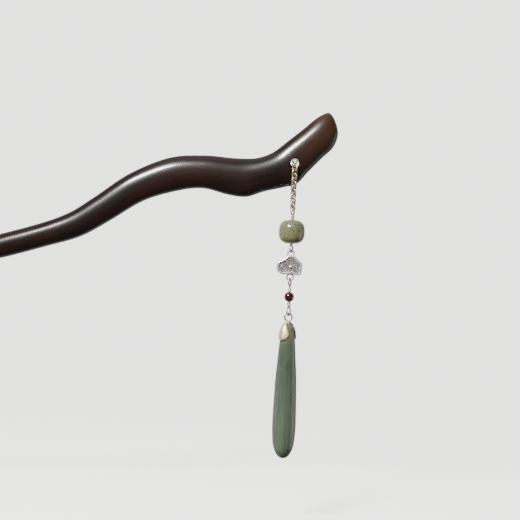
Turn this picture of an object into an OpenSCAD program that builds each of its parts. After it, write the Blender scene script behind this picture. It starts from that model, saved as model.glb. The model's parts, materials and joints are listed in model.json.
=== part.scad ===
// Hair stick of polished hardwood with a hanging tassel: a cable chain looped
// through the head, a jade bead, a cloud-shaped silver connector, a garnet bead
// and a jade drop held in a pinch bail.
// X runs along the straight shaft towards the head, Z is up, Y is front to back.

/* [Stick] */
// Diameter of the straight grip of the shaft
grip_d = 6; // [5:0.5:6.5]
// Length of the straight grip, centred on the origin
grip_len = 24; // [12:2:24]
// Length of the tapered stretch from the grip to the point
taper_len = 36; // [20:1:60]
// Diameter of the rounded point
tip_d = 3.2; // [2:0.2:4]
// Depth of the head, front to back
head_depth = 7.2; // [6:0.2:7.4]
// Diameter of the chain hole through the head
hole_d = 2.5; // [2.4:0.1:3]

/* [Chain] */
// Outer diameter of a chain link
link_od = 2.17; // [2.15:0.01:2.2]
// Wire diameter of a chain link
link_wire = 0.45; // [0.35:0.01:0.45]
// Running gap between one link's wire and the next
link_gap = 0.03; // [0.02:0.01:0.05]
// Chain links on each side of the stick
links_per_side = 15; // [13:1:15]

/* [Beads] */
// Wire diameter of the two bead pins
pin_wire = 0.5; // [0.4:0.05:0.5]
// Width of the jade barrel bead
bead_d = 7.8; // [6:0.2:9]
// Height of the jade barrel bead
bead_h = 7.2; // [6:0.2:7.2]
// Diameter of the garnet bead
garnet_d = 3; // [2.4:0.1:3]
// Radial clearance of a bead on its pin
bead_play = 0.08; // [0.02:0.01:0.1]

/* [Connector] */
// Thickness of the cloud-shaped connector
cloud_t = 1.6; // [1.2:0.1:2.4]
// Width of its raised rim
cloud_rim = 0.6; // [0.4:0.05:0.7]
// Depth of the recess on each face
cloud_recess = 0.4; // [0.2:0.05:0.5]
// Wire diameter of its two rings
cloud_ring_wire = 0.57; // [0.5:0.01:0.6]

/* [Bail and drop] */
// Wire diameter of the ring on the bail
bail_ring_wire = 0.6; // [0.5:0.05:0.6]
// Turn of the bail's two leaves about the plumb line
bail_turn = 45; // [0:5:90]
// Radius of the bail's prongs
prong_r = 0.3; // [0.2:0.05:0.3]

/* [Hidden] */
$fn = 48;

// The head's outline, from the shaft to the end: the lower edge x and z, the
// upper edge x and z, and the depth there as a share of the head's depth. It
// starts just inside the grip, so that its facets never graze the cylinder.
GRIP_SHARE = (grip_d - 0.4) / head_depth;
HEAD = [
    [11, 0.2 - grip_d / 2, 11, grip_d / 2 - 0.2, GRIP_SHARE],
    [20.5, -2.3, 19.5, 4.0, 0.86],
    [31.3, 0.1, 29.0, 6.9, 0.90],
    [44.1, 4.0, 42.1, 11.0, 0.93],
    [54.0, 7.3, 50.4, 14.5, 0.96],
    [62.5, 12.3, 57.5, 19.3, 0.98],
    [72.4, 18.7, 68.0, 26.9, 1],
    [82.3, 22.1, 79.7, 32.1, 1],
    [90.0, 23.2, 90.0, 33.2, 1],
    [97.6, 21.6, 98.2, 32.8, 1],
    [103.2, 21.2, 102.4, 32.75, 1],
    [108.4, 23.0, 106.0, 33.1, 1],
    [114.2, 24.5, 109.6, 34.4, 1],
    [118.2, 25.8, 112.0, 36.0, 1],
    [121.6, 29.6, 114.8, 38.4, 1],
    [125.6, 33.9, 119.4, 42.3, 0.98],
    [128.6, 37.0, 123.2, 45.7, 0.92],
    [129.9, 40.6, 126.2, 47.4, 0.72],
    [129.5, 43.6, 127.3, 47.3, 0.42],
    [128.5, 46.0, 127.9, 46.8, 0.10],
];
HEAD_STEPS = 3;
HEAD_SIDES = 28;
HEAD_SQUARENESS = 0.3;

// The chain hole, and the two rounded mouths that the chain bends over
HOLE_X = 117.25;
HOLE_Z = 31.9;
MOUTH_DEPTH = 0.8;
MOUTH_FLARE = 0.8;

// The chain's run on one side: out through the hole, a tight bend over the
// mouth, a long gentle bend down the face, then straight to the bead pin.
RUN_OUT = 2.75;
BEND_R = 1.7;
FACE_R = 11;
LEAN = 22;
CHAIN_DROP = 0.08;
BEND_SLACK = 0.1;
link_r = (link_od - link_wire) / 2;
pitch = 2 * link_r - link_wire - link_gap;

// Heights below the chain hole of what hangs on the plumb line
EYE_R = 1.1;
EYE_1 = -14.34;
EYE_2 = -25.6;
EYE_TURN = 66;
CLOUD_RING_R = 0.965;
CLOUD_Z = -31.0;
CLOUD_RING_LOW = -34.16;
EYE_3_R = 0.95;
EYE_4_R = 1.25;
EYE_4 = -44.45;
GARNET_Z = -40.1;
BEAD_TOP = -16.98;
BAIL_RING_R = 1.1;
RING_PLAY = 0.03;
WRAP_R = 0.17;
WRAP_AT = 0.36;
WRAP_PITCH = 0.4;
WRAP_TURNS = 3;

cloud_ring_top = EYE_2 - EYE_R + (pin_wire + cloud_ring_wire) / 2 + RING_PLAY - CLOUD_RING_R;
EYE_3 = CLOUD_RING_LOW - CLOUD_RING_R + (pin_wire + cloud_ring_wire) / 2 + RING_PLAY - EYE_3_R;
bail_ring_z = EYE_4 - EYE_4_R + (pin_wire + bail_ring_wire) / 2 + RING_PLAY - BAIL_RING_R;

// The connector's outline, anticlockwise from the top: x and z about its boss
CLOUD = [
    [0.9, 3.25], [0, 3.4], [-0.9, 3.25], [-1.55, 2.65], [-2.5, 2.0], [-3.45, 1.5],
    [-4.05, 0.7], [-4.2, -0.4], [-3.75, -1.55], [-2.9, -2.25], [-1.7, -2.4],
    [0.3, -2.2], [1.3, -2.45], [2.3, -2.6], [3.1, -2.3], [3.5, -1.3], [3.45, -0.4],
    [3.65, 0.5], [3.2, 1.35], [2.4, 1.95], [1.6, 2.8],
];
CLOUD_STEPS = 4;

// The drop and the bail's dome: height below the hole and radius
DROP = [
    [-48.02, 0], [-48.12, 0.55], [-48.45, 1.05], [-49.0, 1.48], [-49.7, 1.76],
    [-50.5, 1.96], [-51.5, 2.12], [-52.6, 2.25], [-54.0, 2.42], [-59.0, 2.8],
    [-64.4, 3.2], [-69.8, 3.4], [-75.2, 3.55], [-79.2, 3.6], [-82.4, 3.42],
    [-84.4, 3.08], [-86.2, 2.45], [-87.6, 1.6], [-88.3, 0.85], [-88.6, 0],
];
DOME = [
    [-47.45, 0], [-47.5, 0.6], [-47.75, 1.15], [-48.3, 1.75], [-49.0, 2.15],
    [-50.0, 2.45], [-51.0, 2.62], [-52.0, 2.72], [-53.2, 2.78],
];
DOME_INSIDE = [
    [-47.83, 0], [-47.88, 0.45], [-48.1, 0.9], [-48.55, 1.4], [-49.15, 1.77],
    [-50.0, 2.07], [-51.0, 2.25], [-52.0, 2.36], [-53.2, 2.42],
];
// The outline of a leaf, seen square on: height below the hole and half width
LEAF = [
    [-47.2, 0.5], [-48.0, 0.62], [-48.8, 1.0], [-49.8, 1.5], [-50.8, 1.88],
    [-51.5, 1.97], [-52.2, 1.75], [-52.7, 1.2], [-52.9, 0.6], [-53.0, 0],
];
PRONG_Z = -50.6;
PRONG_PLAY = 0.08;
PRONG_INNER = 0.7;
CURVE_STEPS = 3;

function link_name(n) = str("chain_link_", n < 10 ? "0" : "", n);
LINK_COUNT = 2 * links_per_side;

// Catmull-Rom curve through the rows of a table, at parameter u from 0 to its last row
function mix(p0, p1, p2, p3, t) =
    0.5 * (2 * p1 + (p2 - p0) * t + (2 * p0 - 5 * p1 + 4 * p2 - p3) * t * t
           + (3 * p1 - p0 - 3 * p2 + p3) * t * t * t);
function along(rows, u) =
    let (last = len(rows) - 1, i = min(floor(u), last - 1))
    mix(rows[max(i - 1, 0)], rows[i], rows[i + 1], rows[min(i + 2, last)], u - i);
function around(rows, u) =
    let (n = len(rows), i = floor(u))
    mix(rows[(i + n - 1) % n], rows[i % n], rows[(i + 1) % n], rows[(i + 2) % n], u - i);
// The curve's points with the height and radius swapped into a profile's order
function profile(rows) =
    [for (k = [0:CURVE_STEPS * (len(rows) - 1)])
        let (p = along(rows, k / CURVE_STEPS)) [max(p[1], 0), p[0]]];

// One ring of the head: a slightly squared ellipse on the chord from lower to upper edge
function power(x, e) = sign(x) * pow(abs(x), e);
function head_ring(u) =
    let (s = along(HEAD, u), e = 2 / (2 + HEAD_SQUARENESS * min(u / 4, 1)))
    [for (k = [0:HEAD_SIDES - 1])
        let (a = 360 * k / HEAD_SIDES, up = power(sin(a), e), out = power(cos(a), e))
        [(s[0] + s[2]) / 2 + up * (s[2] - s[0]) / 2,
         out * s[4] * head_depth / 2,
         (s[1] + s[3]) / 2 + up * (s[3] - s[1]) / 2]];

module wood_head() {
    rings = HEAD_STEPS * (len(HEAD) - 1);
    points = [for (i = [0:rings]) each head_ring(i / HEAD_STEPS)];
    n = HEAD_SIDES;
    sides = [for (i = [0:rings - 1], k = [0:n - 1])
        let (a = i * n + k, b = i * n + (k + 1) % n)
        each [[a, a + n, b], [b, a + n, b + n]]];
    start = [for (k = [0:n - 1]) k];
    end = [for (k = [0:n - 1]) rings * n + n - 1 - k];
    polyhedron(points, concat(sides, [start], [end]));
}

// Shaft profile: the rounded point with its small flat, the taper and the true
// cylinder of the grip
module wood_shaft() {
    tip_r = tip_d / 2;
    tip_x = -grip_len / 2 - taper_len;
    point = [for (a = [15:15:75]) [tip_r * sin(a), tip_x + tip_r * (cos(15) - cos(a))]];
    rotate([0, 90, 0])
        rotate_extrude()
            polygon(concat([[0, tip_x]], point, [
                [tip_r, tip_x + tip_r],
                [grip_d / 2, -grip_len / 2],
                [grip_d / 2, grip_len / 2],
                [0, grip_len / 2],
            ]));
}

module wood_stick() {
    color([0.24, 0.13, 0.09])
        difference() {
            union() {
                wood_shaft();
                wood_head();
            }
            translate([HOLE_X, 0, HOLE_Z])
                rotate([90, 0, 0]) {
                    cylinder(h = 2 * head_depth, d = hole_d, center = true);
                    for (side = [0, 180])
                        rotate([side, 0, 0])
                            translate([0, 0, head_depth / 2 - MOUTH_DEPTH])
                                cylinder(h = 2 * MOUTH_DEPTH, r1 = hole_d / 2,
                                         r2 = hole_d / 2 + 2 * MOUTH_FLARE);
                }
        }
}

// Where the chain's centre line is after a length s: distance out, height, and
// the angle below level in which it runs
function chain_at(s) =
    let (bend = BEND_R * PI / 2, face = FACE_R * PI * LEAN / 180,
         s1 = s - RUN_OUT, s2 = s1 - bend, s3 = s2 - face,
         a1 = s1 / BEND_R * 180 / PI, a2 = s2 / FACE_R * 180 / PI,
         out2 = RUN_OUT + BEND_R, down2 = -CHAIN_DROP - BEND_R)
    s1 < 0 ? [s, -CHAIN_DROP, 0]
    : s2 < 0 ? [RUN_OUT + BEND_R * sin(a1), -CHAIN_DROP - BEND_R * (1 - cos(a1)), a1]
    : s3 < 0 ? [out2 - FACE_R * (1 - cos(a2)), down2 - FACE_R * sin(a2), 90 + a2]
    : [out2 - FACE_R * (1 - cos(LEAN)) - s3 * sin(LEAN),
       down2 - FACE_R * sin(LEAN) - s3 * cos(LEAN), 90 + LEAN];
// Links sit one pitch apart, and a little closer over the bend
function link_s(i) = (i + 0.5) * pitch - BEND_SLACK * max(0, min(i - 1, 3));

// Link n counts from the front strand's lower end, over the hole, to the back's
module chain_link(n) {
    front = n <= links_per_side;
    i = front ? links_per_side - n : n - links_per_side - 1;
    side = front ? -1 : 1;
    at = chain_at(link_s(i));
    roll = (n - links_per_side) % 2 == 0 ? 1 : -1;
    run = [0, side * cos(at[2]), -sin(at[2])];
    rise = [0, side * sin(at[2]), cos(at[2])];
    wide = ([1, 0, 0] + roll * rise) / sqrt(2);
    axle = cross(wide, run);
    color([0.80, 0.74, 0.66])
        multmatrix([
            [wide[0], run[0], axle[0], HOLE_X],
            [wide[1], run[1], axle[1], side * at[0]],
            [wide[2], run[2], axle[2], HOLE_Z + at[1]],
        ])
            rotate_extrude()
                translate([link_r, 0])
                    circle(d = link_wire);
}

// Moves its children from the chain hole's centre line to a height on the plumb line
module plumb(z) {
    translate([HOLE_X, 0, HOLE_Z + z]) children();
}

// A closed wire ring that stands upright, turned about the plumb line
module ring(z, r, wire, turn) {
    plumb(z)
        rotate([90, 0, turn])
            rotate_extrude()
                translate([r, 0])
                    circle(d = wire);
}

// A straight wire with turns of wrapping where the lists say, as one profile
module wrapped_wire(high, low, wraps) {
    plumb(0)
        rotate_extrude() {
            translate([0, low]) square([pin_wire / 2, high - low]);
            for (z = wraps, k = [0:WRAP_TURNS - 1])
                translate([WRAP_AT, z - k * WRAP_PITCH]) circle(WRAP_R);
        }
}

// Height of the first turn of a wrapping that ends just above or starts just below a bead
function wrap_over(top) = top + RING_PLAY + WRAP_R + (WRAP_TURNS - 1) * WRAP_PITCH;
function wrap_under(bottom) = bottom - RING_PLAY - WRAP_R;

module jade_bead_pin() {
    color([0.80, 0.75, 0.68]) {
        wrapped_wire(EYE_1 - EYE_R, EYE_2 + EYE_R, [wrap_over(BEAD_TOP)]);
        ring(EYE_1, EYE_R, pin_wire, EYE_TURN);
        ring(EYE_2, EYE_R, pin_wire, EYE_TURN);
    }
}

module jade_bead() {
    corner = bead_h / 3;
    bulge = 0.25;
    color([0.55, 0.57, 0.42])
        plumb(BEAD_TOP - bead_h / 2)
            rotate_extrude()
                difference() {
                    intersection() {
                        union() {
                            translate([0, -bead_h / 2]) square([bead_d / 2 - corner, bead_h]);
                            translate([0, corner - bead_h / 2])
                                square([bead_d / 2, bead_h - 2 * corner]);
                            for (z = [-1, 1])
                                translate([bead_d / 2 - corner, z * (bead_h / 2 - corner)])
                                    circle(corner);
                        }
                        translate([bead_d / 2 - bead_h * bead_h / 8 / bulge, 0])
                            circle(bead_h * bead_h / 8 / bulge, $fn = 240);
                    }
                    translate([-1, -bead_h]) square([1 + pin_wire / 2 + bead_play, 2 * bead_h]);
                }
}

// The cloud's outline, moved in by a distance along its own normals
function cloud_point(u, inset) =
    let (p = around(CLOUD, u), d = around(CLOUD, u + 0.1) - around(CLOUD, u + len(CLOUD) - 0.1))
    p + inset * [-d[1], d[0]] / norm(d);
function cloud_outline(inset) =
    [for (k = [0:CLOUD_STEPS * len(CLOUD) - 1]) cloud_point(k / CLOUD_STEPS, inset)];

// A raised scroll: a spiral band from an outer to an inner radius
module scroll(r0, r1, sweep, start, wide) {
    steps = 14;
    outer = [for (k = [0:steps])
        let (a = start + sweep * k / steps, r = r0 + (r1 - r0) * k / steps + wide / 2)
        r * [cos(a), sin(a)]];
    inner = [for (k = [steps:-1:0])
        let (a = start + sweep * k / steps, r = r0 + (r1 - r0) * k / steps - wide / 2)
        r * [cos(a), sin(a)]];
    polygon(concat(outer, inner));
}

module cloud_scrolls() {
    translate([-2.15, -0.35]) scroll(1.15, 0.35, -400, 60, 0.26);
    translate([1.9, -0.5]) scroll(1.15, 0.35, 400, 110, 0.26);
    translate([0, 1.75]) scroll(0.85, 0.85, 190, -5, 0.26);
}

module cloud_connector() {
    color([0.72, 0.71, 0.69]) {
        plumb(CLOUD_Z)
            rotate([90, 0, 0]) {
                difference() {
                    linear_extrude(cloud_t, center = true) polygon(cloud_outline(0));
                    for (side = [-1, 1])
                        translate([0, 0, side * cloud_t / 2])
                            linear_extrude(2 * cloud_recess, center = true)
                                polygon(cloud_outline(cloud_rim));
                }
                linear_extrude(cloud_t - 0.16, center = true) cloud_scrolls();
                for (side = [-1, 1])
                    translate([0, 0, side * (cloud_t / 2 - cloud_recess)]) sphere(0.5);
            }
        ring(cloud_ring_top, CLOUD_RING_R, cloud_ring_wire, 0);
        ring(CLOUD_RING_LOW, CLOUD_RING_R, cloud_ring_wire, 0);
    }
}

module garnet_pin() {
    color([0.80, 0.75, 0.68]) {
        wrapped_wire(EYE_3 - EYE_3_R, EYE_4 + EYE_4_R, [
            wrap_over(GARNET_Z + garnet_d / 2),
            wrap_under(GARNET_Z - garnet_d / 2),
        ]);
        ring(EYE_3, EYE_3_R, pin_wire, EYE_TURN);
        ring(EYE_4, EYE_4_R, pin_wire, EYE_TURN);
    }
}

module garnet_bead() {
    color([0.45, 0.08, 0.10])
        plumb(GARNET_Z)
            difference() {
                sphere(d = garnet_d);
                cylinder(h = 2 * garnet_d, r = pin_wire / 2 + bead_play, center = true);
            }
}

module bail_ring() {
    color([0.80, 0.78, 0.74])
        ring(bail_ring_z, BAIL_RING_R, bail_ring_wire, 0);
}

// A thin dome cut to two leaves joined over the top, with a prong inside each
module pinch_bail() {
    leaf = [for (k = [0:CURVE_STEPS * (len(LEAF) - 1)])
        let (p = along(LEAF, k / CURVE_STEPS)) [max(p[1], 0), p[0]]];
    inside = profile(DOME_INSIDE);
    color([0.82, 0.76, 0.66])
        plumb(0)
            rotate([0, 0, bail_turn]) {
                intersection() {
                    rotate_extrude()
                        polygon(concat(profile(DOME),
                                       [for (k = [len(inside) - 1:-1:0]) inside[k]]));
                    rotate([90, 0, 90])
                        linear_extrude(8, center = true)
                            polygon(concat(leaf,
                                           [for (k = [len(leaf) - 2:-1:0])
                                               [-leaf[k][0], leaf[k][1]]]));
                }
                for (side = [0, 180])
                    rotate([0, 0, side])
                        translate([PRONG_INNER, 0, PRONG_Z])
                            rotate([0, 90, 0])
                                cylinder(h = 1.6, r = prong_r);
            }
}

module jade_drop() {
    color([0.45, 0.50, 0.45])
        plumb(0)
            rotate([0, 0, bail_turn])
                difference() {
                    rotate_extrude() polygon(profile(DROP));
                    translate([0, 0, PRONG_Z])
                        rotate([0, 90, 0])
                            cylinder(h = 10, r = prong_r + PRONG_PLAY, center = true);
                }
}

wood_stick();
for (n = [1:LINK_COUNT]) chain_link(n);
jade_bead_pin();
jade_bead();
cloud_connector();
garnet_pin();
garnet_bead();
bail_ring();
pinch_bail();
jade_drop();
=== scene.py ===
import json
import math

import bpy
import numpy as np
from bpy.props import FloatProperty, FloatVectorProperty, PointerProperty
from mathutils import Matrix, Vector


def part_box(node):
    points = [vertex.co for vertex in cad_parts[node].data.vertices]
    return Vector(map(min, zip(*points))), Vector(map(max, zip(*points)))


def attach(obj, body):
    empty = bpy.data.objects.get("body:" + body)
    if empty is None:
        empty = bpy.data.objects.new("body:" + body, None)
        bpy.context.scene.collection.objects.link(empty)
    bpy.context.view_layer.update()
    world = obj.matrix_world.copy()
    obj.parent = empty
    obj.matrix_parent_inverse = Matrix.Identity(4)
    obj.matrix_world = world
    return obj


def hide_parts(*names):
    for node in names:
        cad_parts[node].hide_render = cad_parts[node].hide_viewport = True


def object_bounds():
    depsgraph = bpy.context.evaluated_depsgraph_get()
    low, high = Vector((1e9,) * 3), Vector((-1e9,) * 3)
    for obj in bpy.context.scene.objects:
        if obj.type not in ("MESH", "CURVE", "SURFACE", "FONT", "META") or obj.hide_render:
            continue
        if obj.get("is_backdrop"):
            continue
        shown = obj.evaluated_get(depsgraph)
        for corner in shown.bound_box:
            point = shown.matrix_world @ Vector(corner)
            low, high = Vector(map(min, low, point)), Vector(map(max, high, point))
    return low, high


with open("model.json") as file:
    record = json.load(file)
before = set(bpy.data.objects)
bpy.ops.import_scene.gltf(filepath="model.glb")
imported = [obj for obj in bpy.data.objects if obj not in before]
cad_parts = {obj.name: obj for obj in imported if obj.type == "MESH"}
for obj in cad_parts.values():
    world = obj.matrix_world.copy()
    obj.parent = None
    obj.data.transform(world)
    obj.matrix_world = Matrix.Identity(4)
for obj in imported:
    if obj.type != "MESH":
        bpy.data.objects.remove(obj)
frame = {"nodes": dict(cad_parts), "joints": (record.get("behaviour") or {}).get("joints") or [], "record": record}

# A polished rosewood hair stick with a chained tassel: a barrel bead of olive jade, a
# cast silver cloud, a garnet and a long jade drop in a pinch bail. The frame is the
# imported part's: X along the shaft towards the head, Z up, Y from front to back. Tables
# are in millimetres, as a maker measures them, and meshes are made in metres.

bl_info = {
    "name": "Hair Stick with Jade Tassel",
    "version": (1, 0, 0),
    "blender": (4, 5, 0),
    "location": "View3D > Sidebar > Hair Stick",
    "description": "Makes the stick, its chain and tassel, and a plain stage around the packed part",
    "category": "Add Mesh",
}

MM = 0.001
CAD_BOX = [list(corner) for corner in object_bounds()]
JOINT_AT = {joint["name"]: np.array(joint["pos_m"]) / MM for joint in frame["joints"]}
BODY_OF = {node: body for body, nodes in frame["record"]["behaviour"]["bodies"].items()
           for node in nodes}
GRIP = frame["record"]["mounts"][0]["dims"]

# The chain hole's centre, a hair above the chain's hinge
HOLE = JOINT_AT["chain_swing"] + [0, 0, 0.08]
UP = np.array([0.0, 0.0, 1.0])

# The head's outline from the grip to its end: lower edge x and z, upper edge x and z,
# and the depth there as a share of the head's depth
HEAD = [
    [-12, -3, -12, 3, 0.833],
    [8, -3, 8, 3, 0.833],
    [20.5, -2.3, 19.5, 4.0, 0.86],
    [31.3, 0.1, 29.0, 6.9, 0.90],
    [44.1, 4.0, 42.1, 11.0, 0.93],
    [54.0, 7.3, 50.4, 14.5, 0.96],
    [62.5, 12.3, 57.5, 19.3, 0.98],
    [72.4, 18.7, 68.0, 26.9, 1],
    [82.3, 22.1, 79.7, 32.1, 1],
    [90.0, 23.2, 90.0, 33.2, 1],
    [97.6, 21.6, 98.2, 32.8, 1],
    [103.2, 21.2, 102.4, 32.75, 1],
    [108.4, 23.0, 106.0, 33.1, 1],
    [114.2, 24.5, 109.6, 34.4, 1],
    [118.2, 25.8, 112.0, 36.0, 1],
    [121.6, 29.6, 114.8, 38.4, 1],
    [125.6, 33.9, 119.4, 42.3, 0.98],
    [128.6, 37.0, 123.2, 45.7, 0.92],
    [129.9, 40.6, 126.2, 47.4, 0.72],
    [129.5, 43.6, 127.3, 47.3, 0.42],
    [128.5, 46.0, 127.9, 46.8, 0.10],
]
# How far the rounded end stands out past the last section, along x and z
END_SWELL = (0.030, 0.022)

# The connector's outline, anticlockwise from the top: x and z about its boss
CLOUD = [
    [0.9, 3.25], [0, 3.4], [-0.9, 3.25], [-1.55, 2.65], [-2.5, 2.0], [-3.45, 1.5],
    [-4.05, 0.7], [-4.2, -0.4], [-3.75, -1.55], [-2.9, -2.25], [-1.7, -2.4],
    [0.3, -2.2], [1.3, -2.45], [2.3, -2.6], [3.1, -2.3], [3.5, -1.3], [3.45, -0.4],
    [3.65, 0.5], [3.2, 1.35], [2.4, 1.95], [1.6, 2.8],
]
CLOUD_Z = -31.0
CLOUD_RINGS = (-27.1, -34.16)
CLOUD_RING_R = 0.965

# The drop and the middle of the bail's sheet: height below the chain hole and radius
DROP = [
    [-48.02, 0], [-48.12, 0.55], [-48.45, 1.05], [-49.0, 1.48], [-49.7, 1.76],
    [-50.5, 1.96], [-51.5, 2.12], [-52.6, 2.25], [-54.0, 2.42], [-59.0, 2.8],
    [-64.4, 3.2], [-69.8, 3.4], [-75.2, 3.55], [-79.2, 3.6], [-82.4, 3.42],
    [-84.4, 3.18], [-86.2, 2.68], [-87.6, 1.86], [-88.3, 1.05], [-88.6, 0],
]
DOME = [
    [-47.62, 0], [-47.68, 0.52], [-47.92, 1.02], [-48.42, 1.58], [-49.08, 1.97],
    [-50.0, 2.27], [-51.0, 2.45], [-52.0, 2.56], [-53.1, 2.62],
]
# A leaf's half width at each height of the dome
LEAF = [
    [-47.62, 0.55], [-48.0, 0.62], [-48.8, 1.0], [-49.8, 1.5], [-50.8, 1.88],
    [-51.5, 1.95], [-52.1, 1.75], [-52.6, 1.38], [-52.95, 0.88], [-53.1, 0.02],
]
PRONG_Z = -50.6
PRONG_R, PRONG_HOLE_R = 0.3, 0.38

# Wires and bores: the eyes' turn, neck, spring back and radii, the beads' bore, and the
# thin wire wound about the stems
EYE_TURN = math.radians(66)
EYE_NECK, EYE_SPRING = 0.42, 0.015
BEAD_EYE_R, GARNET_EYES_R = 1.1, (0.95, 1.25)
BORE_R = 0.33
WRAP_WIRE, WRAP_TURNS, WRAP_LENGTH, WRAP_GAP = 0.34, 3.1, 1.17, 0.03
CLOUD_RING_WIRE = 0.54
ACROSS = np.array([1.0, 0, 0])
SHARP_EDGE = math.radians(38)

# The camera: its sensor's width, and where it aims from the chain hole, in metres, across
# and up
SENSOR = 36.0
AIM = (-0.0104, -0.0290)


# ---------------------------------------------------------------- surfaces

def spline(rows, at):
    """Catmull-Rom curve through the rows: a cubic between neighbours whose slope at each
    row is half the step from the row before it to the row after it."""
    rows, at = np.asarray(rows, float), np.asarray(at, float)
    last = len(rows) - 1
    i = np.clip(np.floor(at).astype(int), 0, last - 1)
    t = (at - i)[:, None]
    p0, p1, p2, p3 = (rows[np.clip(i + k, 0, last)] for k in (-1, 0, 1, 2))
    return cubic(p0, p1, p2, p3, t)


def closed_spline(rows, at):
    """The same curve through rows that join end to end."""
    rows, at = np.asarray(rows, float), np.asarray(at, float)
    i = np.floor(at).astype(int)
    t = (at - i)[:, None]
    p0, p1, p2, p3 = (rows[(i + k) % len(rows)] for k in (-1, 0, 1, 2))
    return cubic(p0, p1, p2, p3, t)


def cubic(p0, p1, p2, p3, t):
    return 0.5 * (2 * p1 + (p2 - p0) * t + (2 * p0 - 5 * p1 + 4 * p2 - p3) * t ** 2
                  + (3 * p1 - p0 - 3 * p2 + p3) * t ** 3)


def unit(vectors):
    return vectors / np.linalg.norm(vectors, axis=-1, keepdims=True)


def smoothstep(value, low, high):
    t = np.clip((value - low) / (high - low), 0, 1)
    return t * t * (3 - 2 * t)


def cad_box(node):
    """Lowest and highest corner of a CAD node, as two rows in millimetres."""
    return np.array([list(corner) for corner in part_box(node)]) / MM


def points_of(mesh):
    """The mesh's points, in metres, as rows of x, y and z."""
    co = np.empty(len(mesh.vertices) * 3, np.float32)
    mesh.vertices.foreach_get("co", co)
    return co.reshape(-1, 3)


def numbered(rows, columns):
    """The numbers of a grid's points, with the first column repeated after the last."""
    number = np.arange(rows * columns).reshape(rows, columns)
    return np.hstack([number, number[:, :1]])


def shell(grid, loop=False, poles=None, oxide_and_shade=None):
    """A closed surface from a grid of points whose columns run round it. With loop the
    rows join end to end; otherwise a fan to each of the two poles closes the ends. The
    faces are turned outwards by the sign of the volume that they enclose."""
    rows, columns = grid.shape[:2]
    number = numbered(rows, columns)
    if loop:
        number = np.vstack([number, number[:1]])
    quads = np.stack([number[:-1, :-1], number[:-1, 1:], number[1:, 1:], number[1:, :-1]], -1)
    quads = quads.reshape(-1, 4)
    points = grid.reshape(-1, 3)
    shade = np.zeros(len(points)) if oxide_and_shade is None else np.asarray(oxide_and_shade).ravel()
    fans = np.zeros((0, 3), int)
    if not loop:
        first, final = number[0], number[rows - 1]
        head = np.full(columns, len(points))
        fans = np.vstack([np.stack([head, first[1:], first[:-1]], -1),
                          np.stack([head + 1, final[:-1], final[1:]], -1)])
        points = np.vstack([points, poles])
        shade = np.append(shade, [shade[:columns].mean(), shade[-columns:].mean()])
    triangles = points[np.vstack([quads[:, [0, 1, 2]], quads[:, [0, 2, 3]], fans])]
    volume = np.einsum("ij,ij->", triangles[:, 0], np.cross(triangles[:, 1], triangles[:, 2]))
    if volume < 0:
        quads, fans = quads[:, ::-1], fans[:, ::-1]
    return {"points": points, "quads": quads, "fans": fans, "oxide_and_shade": shade}


def tube(path, side, radius, loop=False, sides=16, oxide_and_shade=None):
    """A round wire: circles of the given radius, each square to the path, whose first
    point lies towards the side vector. Open ends are rounded off."""
    path = np.asarray(path, float)
    radius = np.broadcast_to(np.asarray(radius, float), len(path)).copy()
    side = np.broadcast_to(np.asarray(side, float), path.shape)
    if loop:
        along = unit(np.roll(path, -1, 0) - np.roll(path, 1, 0))
    else:
        along = unit(np.gradient(path, axis=0))
        bend = np.radians([80, 60, 40, 20])
        before = path[0] - along[0] * radius[0] * np.sin(bend)[:, None]
        after = path[-1] + along[-1] * radius[-1] * np.sin(bend[::-1])[:, None]
        path = np.vstack([before, path, after])
        radius = np.concatenate([radius[0] * np.cos(bend), radius,
                                 radius[-1] * np.cos(bend[::-1])])
        along = np.vstack([np.repeat(along[:1], 4, 0), along, np.repeat(along[-1:], 4, 0)])
        side = np.vstack([np.repeat(side[:1], 4, 0), side, np.repeat(side[-1:], 4, 0)])
    out = unit(side - (side * along).sum(1, keepdims=True) * along)
    over = np.cross(along, out)
    turn = np.linspace(0, 2 * np.pi, sides, endpoint=False)
    circle = np.cos(turn)[:, None] * out[:, None] + np.sin(turn)[:, None] * over[:, None]
    grid = path[:, None] + radius[:, None, None] * circle
    shade = None if oxide_and_shade is None else np.broadcast_to(oxide_and_shade(turn), grid.shape[:2])
    poles = None if loop else [path[0] - along[0] * radius[0] * 0.2,
                               path[-1] + along[-1] * radius[-1] * 0.2]
    return shell(grid, loop, poles, shade)


def ring(centre, wide, tall, radius, wire, solder=0.0, sides=16, steps=64):
    """A closed wire ring: a circle in the plane of the two vectors, swept by the wire's
    own circle. The wire swells by the solder share over one short stretch. Its inner side
    is marked to be darkened, as tarnished metal and as painted shade where a link lies in it."""
    turn = np.linspace(0, 2 * np.pi, steps, endpoint=False)
    out = np.cos(turn)[:, None] * wide + np.sin(turn)[:, None] * tall
    swell = 1 + solder * np.exp(-((turn - np.pi / 3) / 0.22) ** 2)
    return tube(centre + radius * out, out, wire / 2 * swell, True, sides,
                lambda a: 0.5 - 0.5 * np.cos(a))


def evenly(points, step):
    """The polyline's points again, at equal steps along it."""
    points = np.asarray(points, float)
    length = np.append(0, np.cumsum(np.linalg.norm(np.diff(points, axis=0), axis=1)))
    at = np.linspace(0, length[-1], int(length[-1] / step) + 2)
    return np.stack([np.interp(at, length, points[:, k]) for k in range(points.shape[1])], -1)


def softened(points, reach):
    """The path with each point moved to the weighted mean of its neighbours within reach,
    which turns corners into bends and leaves the two ends where they are."""
    weight = np.hanning(2 * reach + 3)[1:-1]
    weight = weight / weight.sum()
    before = 2 * points[0] - points[reach:0:-1]
    after = 2 * points[-1] - points[-2:-reach - 2:-1]
    padded = np.vstack([before, points, after])
    return np.stack([np.convolve(padded[:, k], weight, "valid")
                     for k in range(points.shape[1])], -1)


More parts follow.
